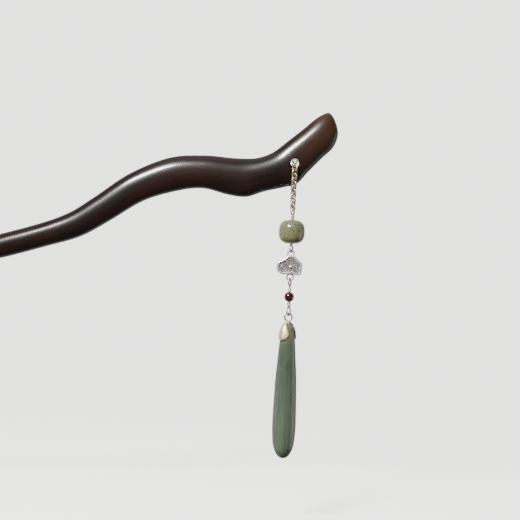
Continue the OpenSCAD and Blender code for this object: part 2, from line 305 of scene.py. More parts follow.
def turned(profile, sides):
    """A profile of radius and height revolved about the plumb line."""
    turn = np.linspace(0, 2 * np.pi, sides, endpoint=False)
    radius, height = profile[:, :1], profile[:, 1:]
    return np.stack([radius * np.cos(turn), radius * np.sin(turn),
                     height + 0 * turn], -1)


def below_hole(points):
    """Points about the plumb line, with heights counted from the chain hole, in place."""
    return np.asarray(points, float) + HOLE


def build(name, shells):
    """One mesh object of closed shells, smooth but for real edges, with each point's share
    of darkening kept as an attribute: oxide, tarnished metal and painted shade."""
    points, faces, oxide_and_shade, start = [], [], [], 0
    for part in shells:
        points.append(part["points"] * MM)
        oxide_and_shade.append(part["oxide_and_shade"])
        faces += (part["quads"] + start).tolist() + (part["fans"] + start).tolist()
        start += len(part["points"])
    mesh = bpy.data.meshes.new(name)
    mesh.from_pydata(np.vstack(points).tolist(), [], faces)
    mesh.attributes.new("oxide_and_shade", "FLOAT", "POINT")
    mesh.attributes["oxide_and_shade"].data.foreach_set("value", np.concatenate(oxide_and_shade).astype(np.float32))
    finish_mesh(mesh)
    return linked(name, mesh)


def linked(name, data):
    """An object of the data, linked to the scene."""
    made = bpy.data.objects.new(name, data)
    bpy.context.scene.collection.objects.link(made)
    return made


def finish_mesh(mesh):
    mesh.polygons.foreach_set("use_smooth", np.ones(len(mesh.polygons), bool))
    mesh.set_sharp_from_angle(angle=SHARP_EDGE)
    mesh.validate()
    mesh.update()


def cut(made, cutter):
    """Takes the cutter's solid out of the piece, and keeps the result as its mesh."""
    modifier = made.modifiers.new("cut", "BOOLEAN")
    modifier.object = cutter
    modifier.solver = "EXACT"
    graph = bpy.context.evaluated_depsgraph_get()
    mesh = bpy.data.meshes.new_from_object(made.evaluated_get(graph))
    if len(mesh.polygons) <= len(made.data.polygons) // 2:
        raise RuntimeError(f"the cut through {made.name} failed")
    made.modifiers.clear()
    made.data = mesh
    bpy.data.objects.remove(cutter)
    finish_mesh(mesh)


def place(made, node, material):
    """Gives the piece its finish and lets it stand for the CAD node and ride its body."""
    made.data.materials.clear()
    made.data.materials.append(material)
    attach(made, BODY_OF[node])
    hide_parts(node)


# ---------------------------------------------------------------- finishes

def fresh(name):
    """A new node material, its tree, and its shader, which is joined to the output."""
    material = bpy.data.materials.new(name)
    material.use_nodes = True
    tree = material.node_tree
    return material, tree, tree.nodes["Principled BSDF"]


def add(tree, kind, settings=None, **links):
    """A node with its settings and inputs by name; a socket given as an input is joined,
    and anything else is its value."""
    node = tree.nodes.new(kind)
    for key, value in (settings or {}).items():
        if key in node.inputs:
            fill(tree, node.inputs[key], value)
        else:
            setattr(node, key, value)
    for key, value in links.items():
        fill(tree, node.inputs[key], value)
    return node


def fill(tree, socket, value):
    if isinstance(value, bpy.types.NodeSocket):
        tree.links.new(value, socket)
    else:
        socket.default_value = value


def fill_all(tree, shader, values):
    for key, value in values.items():
        fill(tree, shader.inputs[key], value)


def mapped(tree, value, low, high, to_low=0.0, to_high=1.0):
    """How far the value lies from low to high, carried over to the other two numbers."""
    ends = {"From Min": low, "From Max": high, "To Min": to_low, "To Max": to_high}
    return add(tree, "ShaderNodeMapRange", ends, Value=value).outputs[0]


def toned(colour, share):
    """The colour, darker or lighter by the share, and at most white."""
    return [min(1, c * share) for c in colour]


def ramp(tree, source, stops):
    """A colour ramp over the source: each stop is a place and a colour."""
    node = add(tree, "ShaderNodeValToRGB", Fac=source)
    while len(node.color_ramp.elements) < len(stops):
        node.color_ramp.elements.new(0.5)
    for element, (at, colour) in zip(node.color_ramp.elements, stops):
        element.position = at
        element.color = (*colour, 1)
    return node.outputs["Color"]


def blend_colour(tree, share, first, second, how="MIX"):
    node = add(tree, "ShaderNodeMix", {"data_type": "RGBA", "blend_type": how})
    fill(tree, node.inputs["Factor"], share)
    fill(tree, node.inputs[6], first)
    fill(tree, node.inputs[7], second)
    return node.outputs[2]


def sums(tree, how, first, second=0.0, third=0.0):
    """The result of one sum on numbers or sockets."""
    node = add(tree, "ShaderNodeMath", {"operation": how})
    for socket, value in zip(node.inputs, (first, second, third)):
        fill(tree, socket, value)
    return node.outputs[0]


def noise(tree, where, scale, detail=3.0, roughness=0.5, distortion=0.0):
    node = add(tree, "ShaderNodeTexNoise", Vector=where, Scale=scale, Detail=detail,
               Roughness=roughness, Distortion=distortion)
    return node.outputs["Fac"]


def stretched(tree, where, scale):
    return add(tree, "ShaderNodeMapping", Vector=where, Scale=scale).outputs["Vector"]


def object_place(tree):
    return add(tree, "ShaderNodeTexCoord").outputs["Object"]


def attribute(tree, name, output="Fac"):
    return add(tree, "ShaderNodeAttribute", {"attribute_name": name}).outputs[output]


def relief(tree, shader, height, depth, strength):
    bump = add(tree, "ShaderNodeBump", Height=height, Distance=depth, Strength=strength)
    tree.links.new(bump.outputs["Normal"], shader.inputs["Normal"])


def rosewood(finish):
    """Waxed rosewood: growth bands and fibres drawn out along the stick, reddish patches, fine dark
    pores, and a paler end that is painted light from the right, all under a thin clear polish."""
    material, tree, shader = fresh("waxed_rosewood")
    grain = attribute(tree, "grain", "Vector")
    bands = noise(tree, stretched(tree, grain, (22, 330, 330)), 1.0, 4, 0.55, 0.6)
    fibre = noise(tree, stretched(tree, grain, (110, 2600, 2600)), 1.0, 5, 0.65, 0.3)
    patch = noise(tree, stretched(tree, grain, (45, 130, 130)), 1.0, 3, 0.5, 0.8)
    pores = noise(tree, stretched(tree, grain, (420, 5200, 5200)), 1.0, 1, 0.4)
    wood = finish.wood
    ground = ramp(tree, bands, [(0.28, toned(wood, 0.28)), (0.47, wood),
                                (0.62, toned(wood, 0.55)), (0.78, toned(wood, 1.75))])
    reddish = sums(tree, "MULTIPLY", mapped(tree, patch, 0.5, 0.72), 0.75)
    patched = blend_colour(tree, reddish, ground, (*finish.wood_red, 1))
    along = add(tree, "ShaderNodeSeparateXYZ", Vector=object_place(tree)).outputs["X"]
    # Paler towards the head's end: painted light, standing in for the light from the right on the head.
    lit_end_share = mapped(tree, along, (HOLE[0] - 4) * MM, CAD_BOX[1][0], 0.0, 0.65)
    patched = blend_colour(tree, lit_end_share, patched, (*finish.wood_end_light, 1))
    fibres = ramp(tree, fibre, [(0.30, (0.35, 0.33, 0.32)), (0.7, (1, 1, 1))])
    fibred = blend_colour(tree, 0.32, patched, fibres, "MULTIPLY")
    pits = ramp(tree, pores, [(0.27, (0.25, 0.22, 0.2)), (0.36, (1, 1, 1))])
    fill_all(tree, shader, {
        "Base Color": blend_colour(tree, 0.5, fibred, pits, "MULTIPLY"),
        "Roughness": mapped(tree, fibre, 0.0, 1.0, 0.28, 0.40), "Specular IOR Level": 0.28,
        "Coat Weight": 0.75, "Coat Roughness": 0.13})
    relief(tree, shader, sums(tree, "ADD", fibre, pores), 0.00002, 0.18)
    return material


def silver(name, colour, dark, polish, tarnish_and_shade):
    """Polished silver: a warm metal with faint draw marks, darkened by each point's share:
    tarnished metal where no polish reaches, and painted shade on the inner sides of rings and wraps."""
    material, tree, shader = fresh(name)
    place_in = object_place(tree)
    cloudy = noise(tree, place_in, 900, 3)
    marks = noise(tree, stretched(tree, place_in, (9000, 9000, 2600)), 1.0, 2)
    # Darker on the inner sides of rings and wraps: tarnished metal, and painted shade where parts lie against each
    # other.
    dark_share = sums(tree, "MULTIPLY", attribute(tree, "oxide_and_shade"), tarnish_and_shade)
    dark_share = sums(tree, "MULTIPLY", dark_share, sums(tree, "ADD", cloudy, 0.45))
    share = add(tree, "ShaderNodeClamp", Value=dark_share).outputs[0]
    fill_all(tree, shader, {
        "Base Color": blend_colour(tree, share, (*colour, 1), (*dark, 1)), "Metallic": 0.82,
        "Roughness": mapped(tree, cloudy, 0.0, 1.0, polish, polish + 0.12)})
    relief(tree, shader, marks, 0.000012, 0.35)
    return material


def cast_silver(finish):
    """Cast silver with an oxidised ground: bright where the hollow attribute is nought,
    grey-black and grainy where it is one, and worn in patches between."""
    material, tree, shader = fresh("oxidised_cast_silver")
    place_in = object_place(tree)
    grainy = noise(tree, place_in, 5200, 4, 0.6)
    worn = noise(tree, place_in, 1500, 3)
    oxide_and_shade = attribute(tree, "oxide_and_shade")
    share = sums(tree, "MULTIPLY_ADD", sums(tree, "SUBTRACT", worn, 0.5), 0.7, oxide_and_shade)
    share = add(tree, "ShaderNodeClamp", Value=share).outputs[0]
    fill_all(tree, shader, {
        "Base Color": blend_colour(tree, share, (*finish.cast, 1), (*finish.oxide, 1)),
        "Metallic": sums(tree, "MULTIPLY_ADD", share, -0.15, 0.75),
        "Roughness": sums(tree, "MULTIPLY_ADD", share, 0.26, 0.32)})
    relief(tree, shader, grainy, 0.00005, 0.35)
    return material


def jade(name, colour, light, dark, along, depth, zones):
    """Polished jade: light scattered under the surface, faint clouds and drawn-out veins
    of paler and deeper green, and a clear wet polish. Zones colour the stone by height,
    partly its own tone and partly painted light: two heights, then the ramp's stops between them."""
    material, tree, shader = fresh(name)
    place_in = object_place(tree)
    clouds = noise(tree, stretched(tree, place_in, along), 1.0, 4, 0.55, 0.4)
    wisps = noise(tree, stretched(tree, place_in, [2.3 * a for a in along]), 1.0, 6, 0.6, 1.2)
    ground = ramp(tree, clouds, [(0.30, dark), (0.52, colour), (0.74, light)])
    veined = blend_colour(tree, 0.35, ground, ramp(tree, wisps, [(0.35, dark), (0.66, light)]))
    height = add(tree, "ShaderNodeSeparateXYZ", Vector=place_in).outputs["Z"]
    # Colour by height: partly the stone's own tone, partly painted light at the foot.
    tone_and_painted_light = ramp(tree, mapped(tree, height, zones[0], zones[1]), zones[2])
    veined = blend_colour(tree, 1.0, veined, tone_and_painted_light, "MULTIPLY")
    fill_all(tree, shader, {
        "Base Color": veined, "Subsurface Weight": 0.6, "Subsurface Radius": (0.9, 1.0, 0.8),
        "Subsurface Scale": depth, "Roughness": 0.16, "IOR": 1.62, "Coat Weight": 0.5,
        "Coat Roughness": 0.04})
    relief(tree, shader, clouds, 0.00005, 0.15)
    return material


def garnet_glass(finish):
    """Clear deep red garnet with faint cloudy flaws and a sharp polish."""
    material, tree, shader = fresh("polished_garnet")
    flaws = noise(tree, object_place(tree), 1100, 4, 0.6, 0.8)
    red = ramp(tree, flaws, [(0.35, toned(finish.garnet, 0.35)), (0.7, finish.garnet)])
    fill_all(tree, shader, {
        "Base Color": red, "Transmission Weight": 0.35, "Roughness": 0.05, "IOR": 1.76,
        "Coat Weight": 0.6, "Coat Roughness": 0.03})
    return material


# ---------------------------------------------------------------- settings

def millimetres(name, what, size, low):
    """A length that a maker gives in millimetres."""
    return FloatProperty(name=name, description=what + ", in mm", default=size, min=low)


def tone(name, what, colour):
    """A colour that a user may change."""
    return FloatVectorProperty(name=name, description=what, default=colour, subtype="COLOR",
                               min=0, max=1)


def watts(name, what, power):
    """The power of a light."""
    return FloatProperty(name=name, description=f"Power of the {what} softbox, in W",
                         default=power)


class StickSettings(bpy.types.PropertyGroup):
    """Sizes of the wooden stick, in millimetres."""
    tip_x: FloatProperty(name="Point", description="Where the point ends along the shaft, in mm",
                         default=-48.0)
    tip_d: millimetres("Point diameter", "Diameter of the rounded point", 3.2, 1)
    depth: millimetres("Head depth", "Depth of the head, front to back", 7.2, 4)
    hole_d: millimetres("Hole", "Diameter of the chain hole", 2.5, 1)
    squareness: FloatProperty(name="Squareness", description="How far the head's section is from round",
                              default=0.3, min=0, max=2)


class TasselSettings(bpy.types.PropertyGroup):
    """Sizes of the chain, wires and stones, in millimetres."""
    link_wire: millimetres("Link wire", "Wire diameter of the chain", 0.43, 0.1)
    solder: FloatProperty(name="Solder",
                          description="Swelling at a link's joint, as a share of its wire",
                          default=0.04, min=0, max=0.5, subtype="FACTOR")
    pin_wire: millimetres("Pin wire", "Wire diameter of the bead pins", 0.5, 0.1)
    bead_d: millimetres("Bead width", "Width of the jade bead", 7.8, 1)
    bead_h: millimetres("Bead height", "Height of the jade bead", 7.2, 1)
    garnet_d: millimetres("Garnet", "Diameter of the garnet", 3.0, 1)
    cloud_t: millimetres("Connector", "Thickness of the cloud", 1.6, 0.5)
    sheet: millimetres("Bail sheet", "Thickness of the bail's leaves", 0.36, 0.1)
    bail_turn: FloatProperty(name="Bail turn", description="Turn of the leaves about the plumb line",
                             default=math.radians(45), subtype="ANGLE", unit="ROTATION")


class FinishSettings(bpy.types.PropertyGroup):
    """Colours of the wood, metals and stones."""
    wood: tone("Wood", "Middle tone of the rosewood", (0.0114, 0.0050, 0.0034))
    wood_red: tone("Red wood", "Reddish patches of the rosewood", (0.026, 0.0080, 0.0048))
    # Painted light: the paler brown of the head's end stands in for light from the right.
    wood_end_light: tone("Wood end", "Paler brown towards the head's end", (0.060, 0.026, 0.014))
    chain: tone("Chain", "Polished metal of chain and pins", (0.90, 0.76, 0.56))
    bail: tone("Bail", "Polished metal of the bail", (1.0, 0.81, 0.52))
    # The darkened colour serves tarnished metal and also painted shade on the inner sides of rings and wraps.
    tarnish_and_shade: tone("Tarnish", "Darkened metal", (0.10, 0.075, 0.05))
    cast: tone("Cast silver", "Bright parts of the cloud", (0.94, 0.92, 0.89))
    oxide: tone("Oxide", "Blackened ground of the cloud", (0.21, 0.20, 0.192))
    olive: tone("Olive jade", "Jade of the barrel bead", (0.180, 0.184, 0.108))
    green: tone("Green jade", "Jade of the long drop", (0.142, 0.195, 0.134))
    garnet: tone("Garnet", "Garnet in full light", (0.11, 0.007, 0.009))


class StageSettings(bpy.types.PropertyGroup):
    """The floor, lights and camera."""
    floor_drop: FloatProperty(name="Floor drop", description="Gap from the tassel to the floor",
                              default=0.02, min=0, unit="LENGTH")
    lens: millimetres("Lens", "Focal length of the camera", 85, 10)
    span: FloatProperty(name="Span", description="Width that the camera sees at the stick",
                        default=0.156, min=0.01, unit="LENGTH")
    roll: FloatProperty(name="Roll", description="How far the camera is rolled",
                        default=math.radians(2.36), subtype="ANGLE", unit="ROTATION")
    key_power: watts("Key", "upper left", 3.4)
    side_power: watts("Side", "right", 0.24)
    top_power: watts("Top", "overhead", 0.45)
    paper: tone("Paper", "Colour of the floor and what is behind", (0.80, 0.79, 0.77))


# ---------------------------------------------------------------- the stick

def stick_rings(stick):
    """Lower and upper edge, half depth and squareness of every section of the stick: a
    quarter circle for the point, a straight taper, the grip's cylinder, and the spline
    through the head's table."""
    tip_r, grip_r = stick.tip_d / 2, GRIP["r_mm"]
    start, bend = -GRIP["length_mm"] / 2, np.radians(np.arange(6, 90, 6))
    round_x = stick.tip_x + tip_r * (1 - np.cos(bend))
    taper_x = np.linspace(stick.tip_x + tip_r, start, 40, endpoint=False)
    grip_x = np.linspace(start, HEAD[1][0], 16, endpoint=False)
    taper = tip_r + (grip_r - tip_r) * smooth_taper(taper_x, taper_x[0], start)
    x = np.concatenate([round_x, taper_x, grip_x])
    r = np.concatenate([tip_r * np.sin(bend), taper, np.full(16, grip_r)])
    shaft = np.stack([x, -r, x, r, r], -1)
    at = np.arange(1, len(HEAD) - 1 + 1e-6, 1 / 14)
    head = spline(HEAD, at)
    head[:, 4] *= stick.depth / 2
    square = np.concatenate([np.zeros(len(shaft)),
                             stick.squareness * np.clip((at - 1) / 4, 0, 1)])
    return np.vstack([shaft, head]), square


def smooth_taper(x, low, high):
    """A straight run from nought to one that eases off just before its end."""
    t = (x - low) / (high - low)
    return t - 0.06 * smoothstep(t, 0.7, 1) * (1 - t) / 0.3


def stick_surface(stick, sides=144):
    """Each section is a slightly squared ellipse on the chord from lower to upper edge:
    sine and cosine raised to the power two over two plus squareness, sign kept."""
    rings, square = stick_rings(stick)
    turn = np.linspace(0, 2 * np.pi, sides, endpoint=False)
    power = (2 / (2 + square))[:, None]
    rise = np.sign(np.sin(turn)) * np.abs(np.sin(turn)) ** power
    out = np.sign(np.cos(turn)) * np.abs(np.cos(turn)) ** power
    middle_x, middle_z = (rings[:, 0] + rings[:, 2]) / 2, (rings[:, 1] + rings[:, 3]) / 2
    half_x, half_z = (rings[:, 2] - rings[:, 0]) / 2, (rings[:, 3] - rings[:, 1]) / 2
    grid = np.stack([middle_x[:, None] + half_x[:, None] * rise,
                     rings[:, 4:] * out,
                     middle_z[:, None] + half_z[:, None] * rise], -1)
    line = np.stack([middle_x, middle_z], -1)
    end_x, end_z = line[-1] + END_SWELL
    return shell(grid, poles=[[stick.tip_x, 0, 0], [end_x, 0, end_z]]), line


def hole_surface(stick):
    """The drill's shape along Y: a cylinder that eases out at both faces, a little all
    round and more on the lower side, where the chain has worn and was relieved."""
    turn = np.linspace(0, 2 * np.pi, 64, endpoint=False)
    lower = smoothstep(-np.sin(turn), -0.35, 0.45)
    y = np.concatenate([np.linspace(-4.6, -1.6, 26), np.linspace(-1.2, 1.2, 4),
                        np.linspace(1.6, 4.6, 26)])
    ease = np.clip((np.abs(y) - 2.3) / 1.3, 0, 2)[:, None]
    lip = np.clip((np.abs(y) - 2.9) / 0.7, 0, 2)[:, None]
    worn, eased = 0.90, 0.22
    radius = stick.hole_d / 2 + worn * ease ** 1.5 * lower + eased * lip ** 2 * (1 - lower)
    grid = np.stack([HOLE[0] + radius * np.cos(turn), y[:, None] + 0 * turn,
                     HOLE[2] + radius * np.sin(turn)], -1)
    return shell(grid, poles=[[HOLE[0], y[0], HOLE[2]], [HOLE[0], y[-1], HOLE[2]]])


def lay_grain(mesh, line):
    """Keeps, for each point, how far along the stick's middle line it lies, how far back,
    and how high above the line, so that the grain follows the wave."""
    co = points_of(mesh)
    line = line * MM
    along = unit(np.gradient(line, axis=0))
    length = np.append(0, np.cumsum(np.linalg.norm(np.diff(line, axis=0), axis=1)))
    flat = co[:, [0, 2]]
    near = ((flat[:, None] - line[None]) ** 2).sum(-1).argmin(1)
    off = flat - line[near]
    s = length[near] + (off * along[near]).sum(1)
    h = off[:, 1] * along[near, 0] - off[:, 0] * along[near, 1]
    grain = np.stack([s, co[:, 1], h], -1).astype(np.float32)
    mesh.attributes.new("grain", "FLOAT_VECTOR", "POINT")
    mesh.attributes["grain"].data.foreach_set("vector", grain.ravel())


class MESH_OT_stick(bpy.types.Operator):
    """Carve the wavy rosewood stick and drill its chain hole"""
    bl_idname = "mesh.hairstick_stick"
    bl_label = "Rosewood Stick"

    def execute(self, context):
        scene = context.scene
        surface, line = stick_surface(scene.hairstick_stick)
        made = build("rosewood_stick", [surface])
        cut(made, build("drill", [hole_surface(scene.hairstick_stick)]))
        lay_grain(made.data, line)
        place(made, "wood_stick", rosewood(scene.hairstick_finish))
        return {"FINISHED"}


# ---------------------------------------------------------------- chain and wires

def link_axes(node):
    """A link's centre and the two directions of its plane, from its CAD ring: the
    direction in which a ring's points spread least is its axle."""
    points = points_of(frame["nodes"][node].data).astype(float) / MM
    centre = cad_box(node).mean(0)
    axes = np.linalg.eigh(np.cov((points - centre).T))[1]
    return centre, axes[:, 2], np.cross(axes[:, 0], axes[:, 2])


class MESH_OT_chain(bpy.types.Operator):
    """Make every link of the cable chain that runs through the head"""
    bl_idname = "mesh.hairstick_chain"
    bl_label = "Chain"

    def execute(self, context):
        tassel, finish = context.scene.hairstick_tassel, context.scene.hairstick_finish
        # The links' inner sides are darkened: tarnished metal, and painted shade where the links lie in each
        # other.
        metal = silver("champagne_chain", finish.chain, finish.tarnish_and_shade, 0.30, 0.75)
        links = sorted(node for node in frame["nodes"] if node.startswith("chain_link_"))
        for node in links:
            centre, wide, tall = link_axes(node)
            link = ring(centre, wide, tall, link_radius(node, centre), tassel.link_wire,
                        tassel.solder, 14, 48)
            place(build(node.replace("chain", "silver"), [link]), node, metal)
        return {"FINISHED"}


def link_radius(node, centre):
    """The radius of the CAD ring's wire centre: midway between its nearest and furthest
    points from its own centre."""
    away = np.linalg.norm(points_of(frame["nodes"][node].data) / MM - centre, axis=1)
    return (away.min() + away.max()) / 2


def eye(height, radius, wire, stem_end, tucked):
    """A wire eye bent from its own stem: up the stem, round a circle whose foot is drawn
    in to the neck, and back to lie beside the stem as far as tucked says. The path lies in
    one upright plane, turned so that it is seen part edge on."""
    side = -1 if stem_end < height else 1
    neck = height + side * (radius + EYE_NECK)
    turn = np.radians(np.linspace(232, -52, 60))
    swept = radius + EYE_SPRING
    loop = np.stack([swept * np.cos(turn), height - side * swept * np.sin(turn)], -1)
    path = np.vstack([[[0, stem_end], [0, neck]], loop,
                      [[wire * 0.55, neck], [wire * 0.55, neck + side * tucked]]])
    path = softened(evenly(path, 0.05), 7)
    across = np.array([math.cos(EYE_TURN), math.sin(EYE_TURN), 0])
    square = np.array([-math.sin(EYE_TURN), math.cos(EYE_TURN), 0])
    return tube(below_hole(path[:, :1] * across + path[:, 1:] * UP), square, wire / 2,
                oxide_and_shade=lambda a: 0.12 + 0 * a)


def wrapping(high, low):
    """Turns of thin wire wound about the stem: a helix whose radius is the stem's and the
    wire's half thickness together."""
    wire = WRAP_WIRE
    turn = np.linspace(0, 2 * np.pi * WRAP_TURNS, int(40 * WRAP_TURNS))
    radius = 0.24 + wire / 2
    out = np.stack([np.cos(turn + 0.6), np.sin(turn + 0.6), 0 * turn], -1)
    height = np.linspace(high - wire / 2, low + wire / 2, len(turn))
    path = radius * out + height[:, None] * UP
    return tube(below_hole(path), out, wire / 2, sides=14,
                # The side of the wire towards the stem is darkened: painted shade in the crease, with tarnished
                # metal.
                oxide_and_shade=lambda a: smoothstep(1 - np.cos(a), 0.9, 1.6))


def pin_heights(bead, pin, upper, lower, wire):
    """Heights below the chain hole of the bead's foot and top, and of the centres of the
    pin's upper and lower eye."""
    low, high = (cad_box(bead) - HOLE)[:, 2]
    pin_low, pin_high = (cad_box(pin) - HOLE)[:, 2]
    return low, high, pin_high - upper - wire / 2, pin_low + lower + wire / 2


class MESH_OT_bead_pin(bpy.types.Operator):
    """Bend the wire of the jade bead, with its eyes and wrapping"""
    bl_idname = "mesh.hairstick_bead_pin"
    bl_label = "Bead Pin"

    def execute(self, context):
        tassel, finish = context.scene.hairstick_tassel, context.scene.hairstick_finish
        wire, radius = tassel.pin_wire, BEAD_EYE_R
        low, high, top, foot = pin_heights("jade_bead", "jade_bead_pin", radius, radius, wire)
        middle = (low + high) / 2
        shells = [eye(top, radius, wire, middle, 0.3), eye(foot, radius, wire, middle, 0.2),
                  wrapping(top - radius - 0.12, high + WRAP_GAP)]
        metal = silver("bright_bead_wire", finish.chain, finish.tarnish_and_shade, 0.26, 0.6)
        place(build("bead_wire", shells), "jade_bead_pin", metal)
        return {"FINISHED"}


class MESH_OT_garnet_pin(bpy.types.Operator):
    """Bend the wire of the garnet, with its eyes and wrapping above and below"""
    bl_idname = "mesh.hairstick_garnet_pin"
    bl_label = "Garnet Pin"

    def execute(self, context):
        tassel, finish = context.scene.hairstick_tassel, context.scene.hairstick_finish
        wire, (upper, lower) = tassel.pin_wire, GARNET_EYES_R
        low, high, top, foot = pin_heights("garnet_bead", "garnet_pin", upper, lower, wire)
        middle = (low + high) / 2
        shells = [eye(top, upper, wire, middle, 0.3), eye(foot, lower, wire, middle, 0.3),
                  wrapping(high + WRAP_LENGTH, high + WRAP_GAP),
                  wrapping(low - WRAP_GAP, low - WRAP_LENGTH)]
        metal = silver("bright_garnet_wire", finish.chain, finish.tarnish_and_shade, 0.26, 0.6)
        place(build("garnet_wire", shells), "garnet_pin", metal)
        return {"FINISHED"}


# ---------------------------------------------------------------- stones

def bead_profile(width, height, bore):
    """Half the bead's section: a superellipse a shade fuller than a circle and a half
    down to the bore, whose wall closes it."""
    turn = np.linspace(-np.pi / 2, np.pi / 2, 72)
    power = 2 / 2.8
    radius = width / 2 * np.cos(turn) ** power
    rise = height / 2 * np.sign(np.sin(turn)) * np.abs(np.sin(turn)) ** power
    keep = radius > bore + 0.12
    radius, rise = radius[keep], rise[keep]
    lip = np.array([[bore + 0.03, rise[-1] + 0.004], [bore, rise[-1] - 0.06]])
    wall = np.stack([np.full(10, bore), np.linspace(rise[-1] - 0.3, rise[0] + 0.3, 10)], -1)
    foot = np.array([[bore, rise[0] + 0.06], [bore + 0.03, rise[0] - 0.004]])
    return np.vstack([np.stack([radius, rise], -1), lip, wall, foot])


class MESH_OT_jade_bead(bpy.types.Operator):
    """Turn the barrel bead of olive jade"""
    bl_idname = "mesh.hairstick_jade_bead"
    bl_label = "Jade Bead"

    def execute(self, context):
        tassel, finish = context.scene.hairstick_tassel, context.scene.hairstick_finish
        low, high = cad_box("jade_bead")
        profile = bead_profile(tassel.bead_d, high[2] - low[2], BORE_R)
        grid = turned(profile, 112) + (low + high) / 2
        olive = finish.olive
        # The foot is yellower, which is the stone's own tone, and lighter, which is painted light standing in for
        # light that falls off under the bead.
        stops = [(0.0, (1.0, 0.97, 0.78)), (0.45, (0.94, 0.94, 0.86)), (1.0, (0.90, 0.94, 0.96))]
        stone = jade("olive_jade", olive, toned(olive, 1.14), toned(olive, 0.82),
                     (230, 230, 200), 0.0014, (low[2] * MM, high[2] * MM, stops))
        place(build("olive_bead", [shell(grid, loop=True)]), "jade_bead", stone)
        return {"FINISHED"}


class MESH_OT_garnet(bpy.types.Operator):
    """Turn the round garnet bead"""
    bl_idname = "mesh.hairstick_garnet"
    bl_label = "Garnet Bead"

    def execute(self, context):
        radius = context.scene.hairstick_tassel.garnet_d / 2
        stop = math.acos(BORE_R / radius)
        turn = np.linspace(-stop, stop, 48)
        ball = np.stack([radius * np.cos(turn), radius * np.sin(turn)], -1)
        top = radius * math.sin(stop)
        wall = np.stack([np.full(8, BORE_R), np.linspace(top - 0.05, 0.05 - top, 8)], -1)
        grid = turned(np.vstack([ball, wall]), 72) + cad_box("garnet_bead").mean(0)
        stone = garnet_glass(context.scene.hairstick_finish)
        place(build("garnet_ball", [shell(grid, loop=True)]), "garnet_bead", stone)
        return {"FINISHED"}


class MESH_OT_drop(bpy.types.Operator):
    """Turn the long jade drop and drill it across for the bail's prongs"""
    bl_idname = "mesh.hairstick_drop"
    bl_label = "Jade Drop"

    def execute(self, context):
        tassel, finish = context.scene.hairstick_tassel, context.scene.hairstick_finish
        section = spline(DROP, np.arange(0.12, len(DROP) - 1 - 0.12, 0.12))
        poles = [below_hole([0, 0, DROP[0][0]]), below_hole([0, 0, DROP[-1][0]])]
        made = build("jade_drop_stone", [shell(drop_surface(section), poles=poles)])
        across = np.array([math.cos(tassel.bail_turn), math.sin(tassel.bail_turn), 0])
        run = np.linspace(-4, 4, 9)[:, None] * across + PRONG_Z * UP
        cut(made, build("cross_drill", [tube(below_hole(run), UP, PRONG_HOLE_R, sides=24)]))
        green = finish.green
        foot, top = ((HOLE[2] + DROP[row][0]) * MM for row in (-1, 0))
        # The foot is painted lighter, standing in for light that falls off down the drop; the middle is darker,
        # and just under the bail the stone is warmer and lighter.
        stops = [(0.0, (0.90, 0.90, 0.90)), (0.25, (0.80, 0.80, 0.80)), (0.62, (0.58, 0.59, 0.60)),
                 (0.84, (0.62, 0.61, 0.58)), (0.93, (1.0, 0.88, 0.74))]
        stone = jade("green_jade", green, toned(green, 1.30), toned(green, 0.72),
                     (420, 420, 40), 0.0022, (foot, top, stops))
        place(made, "jade_drop", stone)
        return {"FINISHED"}


def drop_surface(section):
    """The drop's section revolved about the plumb line, eased by under a hundredth into
    four broad flats, as a hand-ground drop has."""
    turn = np.linspace(0, 2 * np.pi, 96, endpoint=False)
    flats = 1 - 0.008 + 0.008 * np.cos(4 * turn + 0.7)
    radius = section[:, 1:] * flats
    grid = np.stack([radius * np.cos(turn), radius * np.sin(turn),
                     section[:, :1] + 0 * turn], -1)
    return below_hole(grid)


# ---------------------------------------------------------------- the cloud

def scroll_ridge(x, z, at, pitch, reach, start, way):
    """A spiral ridge: high where the distance from its middle, less the share of a turn
    of its angle, is a whole number of pitches, and faded out beyond its reach."""
    dx, dz = x - at[0], z - at[1]
    distance = np.hypot(dx, dz)
    angle = way * np.arctan2(dz, dx) / (2 * np.pi)
    phase = distance / pitch - angle - start
    off = (phase - np.round(phase)) * pitch
    return np.exp(-(off / 0.11) ** 2) * smoothstep(-distance, -reach, -reach + 0.25)


def cloud_relief(x, z, inward):
    """Height of the cloud's face below its top: a round rim at the edge, then a sunk
    ground with two scrolls, an arch over them, a beaded grain and the boss."""
    rim_width, rim_drop, sink = 0.80, 0.30, 0.42
    scroll_rise, grain_rise, boss_r = 0.21, 0.04, 0.52
    rim = np.sqrt(np.clip(1 - ((inward - 0.42) / 0.45) ** 2, 0, 1))
    wall = smoothstep(inward, rim_width - 0.14, rim_width + 0.06)
    ridge = np.maximum(scroll_ridge(x, z, (-2.05, -0.35), 0.52, 1.35, 0.1, 1),
                       scroll_ridge(x, z, (1.85, -0.5), 0.52, 1.3, 0.3, -1))
    arch = np.exp(-((np.hypot(x, z - 1.35) - 0.8) / 0.12) ** 2) * smoothstep(z, 0.7, 1.1)
    ridge = np.maximum(ridge, arch)
    grain = 0.5 + 0.5 * (np.sin(9.5 * x + 2.2 * np.sin(3.1 * z))
                         * np.sin(9.1 * z + 1.7 * np.sin(2.7 * x)))
    ground = -sink + scroll_rise * ridge + grain_rise * grain * (1 - ridge)
    boss = np.sqrt(np.clip(boss_r ** 2 - x ** 2 - z ** 2, 0, None))
    moat = smoothstep(np.hypot(x, z), 0.5, 0.75)
    ground = np.maximum(-sink + (ground + sink) * moat, -sink + 1.15 * boss)
    edge = -rim_drop + rim_drop * rim
    height = edge * (1 - wall) + ground * wall
    raised = np.maximum(smoothstep(height, -0.32, -0.12), smoothstep(boss, 0.1, 0.3))
    return height, 1 - raised


